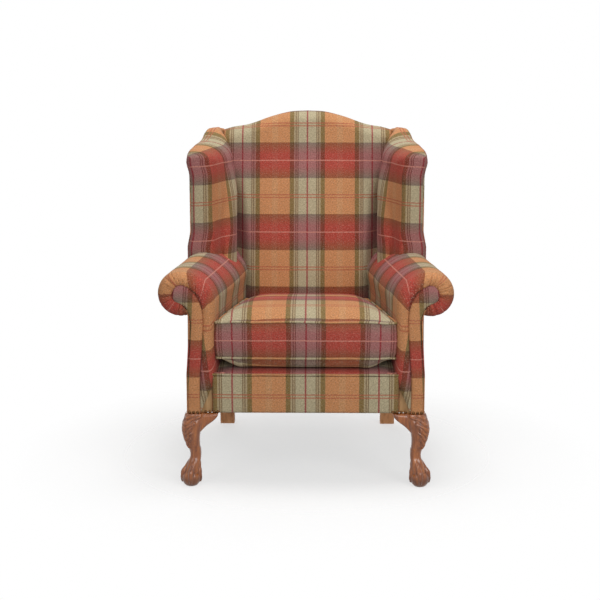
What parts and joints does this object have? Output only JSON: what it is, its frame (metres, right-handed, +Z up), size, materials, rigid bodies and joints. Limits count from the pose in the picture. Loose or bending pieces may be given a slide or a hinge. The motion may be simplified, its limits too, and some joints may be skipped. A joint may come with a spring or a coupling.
{
  "type": "fireside wing chair",
  "caption": "High wing chair with scroll arms, camel back, piped loose seat cushion, nail-trimmed tartan cover and carved ball-and-claw front legs.",
  "frame": {"origin": "centre of the chair's bounding box at floor level, under the seat", "axes": "+X to the right of a person facing the chair, +Y to the back of the chair, +Z up; the sitter looks along -Y"},
  "size_m": [0.8396, 0.749, 1.058],
  "materials": {
    "frame_timber": "planed hardwood, unfinished",
    "rear_leg_wood": "light brown satin stain",
    "carved_wood": "gloss orange-brown stain, darker in the carving",
    "tartan_cloth": "woven wool tartan in crimson, orange-brown and grey-green",
    "piping_cloth": "the same tartan, cut on the cross over cord",
    "platform_cloth": "plain dark cloth over felt",
    "cushion_filling": "foam wrapped in polyester",
    "webbing": "elastic webbing",
    "spring_steel": "plain drawn wire",
    "screw_steel": "zinc plated",
    "nail_bronze": "dark aged bronze",
    "zip_tape": "brown zip tape with brass teeth",
    "zip_metal": "satin brass"
  },
  "bodies": {
    "chair": {"arm_facing_left": "tartan_cloth", "arm_facing_right": "tartan_cloth", "arm_lining_left": "platform_cloth", "arm_lining_right": "platform_cloth", "arm_pad_left": "tartan_cloth", "arm_pad_right": "tartan_cloth", "arm_rail_left": "frame_timber", "arm_rail_right": "frame_timber", "arm_stump_left": "frame_timber", "arm_stump_right": "frame_timber", "back_cross_rail": "frame_timber", "back_piping": "piping_cloth", "back_post_left": "rear_leg_wood", "back_post_right": "rear_leg_wood", "back_webbing": "webbing", "border_piping": "piping_cloth", "corner_block_screws": "screw_steel", "corner_blocks": "frame_timber", "dust_cover": "platform_cloth", "dust_cover_staples": "spring_steel", "frame_dowels": "frame_timber", "front_leg_left": "carved_wood", "front_leg_right": "carved_wood", "front_rail": "frame_timber", "inside_back": "tartan_cloth", "leg_bolts": "screw_steel", "nailheads_left": "nail_bronze", "nailheads_right": "nail_bronze", "outside_arm_left": "tartan_cloth", "outside_arm_right": "tartan_cloth", "outside_back": "tartan_cloth", "outside_wing_left": "tartan_cloth", "outside_wing_right": "tartan_cloth", "rear_rail": "frame_timber", "seat_border": "tartan_cloth", "seat_deck": "platform_cloth", "seat_lining": "platform_cloth", "seat_springs": "spring_steel", "side_rail_left": "frame_timber", "side_rail_right": "frame_timber", "spring_clips": "spring_steel", "top_rail": "frame_timber", "wing_pad_left": "tartan_cloth", "wing_pad_right": "tartan_cloth", "wing_piping_left": "piping_cloth", "wing_piping_right": "piping_cloth", "wing_post_left": "frame_timber", "wing_post_right": "frame_timber", "wing_rail_left": "frame_timber", "wing_rail_right": "frame_timber"},
    "seat_cushion": {"cushion_cover": "tartan_cloth", "cushion_core": "cushion_filling", "cushion_piping_upper": "piping_cloth", "cushion_piping_lower": "piping_cloth", "cushion_zip": "zip_tape"},
    "zip_pull": {"zip_slider": "zip_metal"}
  },
  "joints": [
    {"name": "cushion_pull", "type": "slide", "parent": "chair", "child": "seat_cushion", "axis": [0, -1, 0], "range_m": [0, 0.6]},
    {"name": "zip_slide", "type": "slide", "parent": "seat_cushion", "child": "zip_pull", "axis": [1, 0, 0], "range_m": [0, 0.352]}
  ]
}
